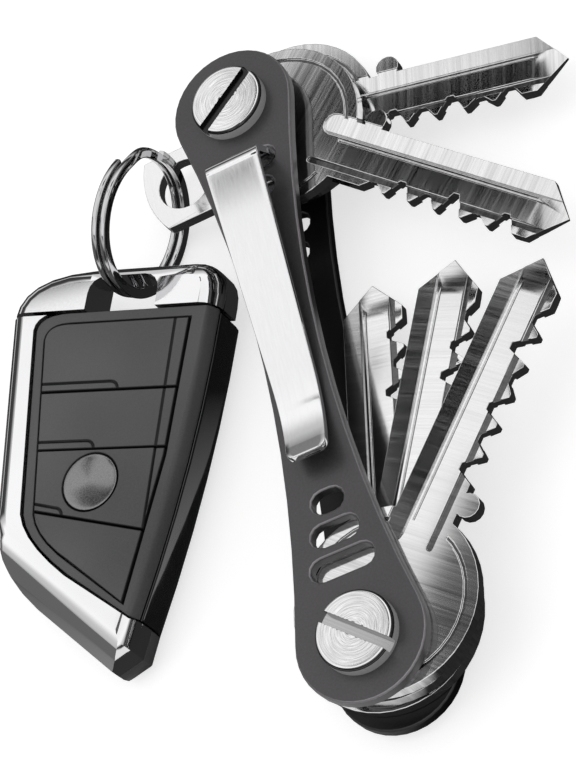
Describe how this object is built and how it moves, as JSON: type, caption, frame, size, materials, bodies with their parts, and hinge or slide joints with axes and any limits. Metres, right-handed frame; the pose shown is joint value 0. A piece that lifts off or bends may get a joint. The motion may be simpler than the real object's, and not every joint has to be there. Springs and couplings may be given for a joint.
{
  "type": "pocket key holder",
  "caption": "Pocket key holder: two waisted plates on posts between which keys fold out, with a pocket clip, a ring loop, a split ring and a key fob.",
  "frame": {"origin": "middle of the back plate's outer face, halfway between the two posts", "axes": "+Y along the holder towards the post that carries the clip and the ring loop, +Z out of the front plate, +X to the side the keys open"},
  "size_m": [0.0963, 0.1051, 0.0214],
  "materials": {
    "anodised": "dark grey satin anodised",
    "polished": "mirror polished spring steel",
    "turned": "bright, turned faces",
    "nylon": "matt",
    "key_steel": "brushed nickel",
    "chrome": "bright chrome",
    "fob_plastic": "dark grey satin",
    "fob_gloss": "gloss black",
    "board": "green lacquer",
    "cell_steel": "satin"
  },
  "bodies": {
    "holder": {"back_plate": "anodised", "front_plate": "anodised", "top_post": "turned", "top_screw": "turned", "bottom_post": "turned", "bottom_screw": "turned", "bottom_spacer_front": "nylon", "bottom_spacer_rear": "nylon", "top_spacer": "nylon"},
    "clip": {"pocket_clip": "polished"},
    "key_bottom_front": {"key_bottom_front": "key_steel"},
    "key_bottom_middle": {"key_bottom_middle": "key_steel"},
    "key_bottom_rear": {"key_bottom_rear": "key_steel"},
    "key_top_front": {"key_top_front": "key_steel"},
    "key_top_rear": {"key_top_rear": "key_steel"},
    "loop": {"ring_loop": "turned"},
    "ring": {"split_ring": "chrome"},
    "fob": {"fob_back_shell": "fob_plastic", "fob_frame": "chrome", "fob_top_cap": "chrome", "fob_front_cover": "fob_plastic", "fob_side_panel": "fob_gloss", "fob_circuit_board": "board", "fob_coin_cell": "cell_steel"},
    "button_1": {"fob_button_1": "fob_plastic"},
    "button_2": {"fob_button_2": "fob_plastic"},
    "button_3": {"fob_button_3": "fob_plastic", "fob_button_disc": "fob_plastic"},
    "button_4": {"fob_button_4": "fob_plastic"}
  },
  "joints": [
    {"name": "key_bottom_front_swing", "type": "hinge", "parent": "holder", "child": "key_bottom_front", "pos_m": [0, -0.0424, 0.0065], "axis": [0, 0, 1], "range_deg": [-139.7, 40.3]},
    {"name": "key_bottom_middle_swing", "type": "hinge", "parent": "holder", "child": "key_bottom_middle", "pos_m": [0, -0.0424, 0.0065], "axis": [0, 0, 1], "range_deg": [-155, 25]},
    {"name": "key_bottom_rear_swing", "type": "hinge", "parent": "holder", "child": "key_bottom_rear", "pos_m": [0, -0.0424, 0.0065], "axis": [0, 0, 1], "range_deg": [-169.4, 10.6]},
    {"name": "key_top_front_swing", "type": "hinge", "parent": "holder", "child": "key_top_front", "pos_m": [0, 0.0424, 0.0065], "axis": [0, 0, 1], "range_deg": [-42.6, 108.4]},
    {"name": "key_top_rear_swing", "type": "hinge", "parent": "holder", "child": "key_top_rear", "pos_m": [0, 0.0424, 0.0065], "axis": [0, 0, 1], "range_deg": [-72.4, 78.6]},
    {"name": "clip_flex", "type": "hinge", "parent": "holder", "child": "clip", "pos_m": [0, 0.0319, 0.01065], "axis": [-1, 0, 0], "range_deg": [0, 2.5], "stiffness_Nm_per_rad": 10},
    {"name": "loop_swing", "type": "hinge", "parent": "holder", "child": "loop", "pos_m": [0, 0.0424, 0.00285], "axis": [0, 0, 1], "range_deg": [-20, 0]},
    {"name": "ring_swing", "type": "hinge", "parent": "loop", "child": "ring", "pos_m": [-0.0143, 0.0404, 0.00285], "axis": [0, 0, 1], "range_deg": [-8, 8]},
    {"name": "fob_swing", "type": "hinge", "parent": "ring", "child": "fob", "pos_m": [-0.02331, 0.02642, 0.004], "axis": [0, 0, 1], "range_deg": [-30, 6]},
    {"name": "fob_button_1_press", "type": "slide", "parent": "fob", "child": "button_1", "axis": [0, 0, -1], "range_m": [0, 0.0004], "stiffness_N_per_m": 2000},
    {"name": "fob_button_2_press", "type": "slide", "parent": "fob", "child": "button_2", "axis": [0, 0, -1], "range_m": [0, 0.0004], "stiffness_N_per_m": 2000},
    {"name": "fob_button_3_press", "type": "slide", "parent": "fob", "child": "button_3", "axis": [0, 0, -1], "range_m": [0, 0.0004], "stiffness_N_per_m": 2000},
    {"name": "fob_button_4_press", "type": "slide", "parent": "fob", "child": "button_4", "axis": [0, 0, -1], "range_m": [0, 0.0004], "stiffness_N_per_m": 2000}
  ]
}
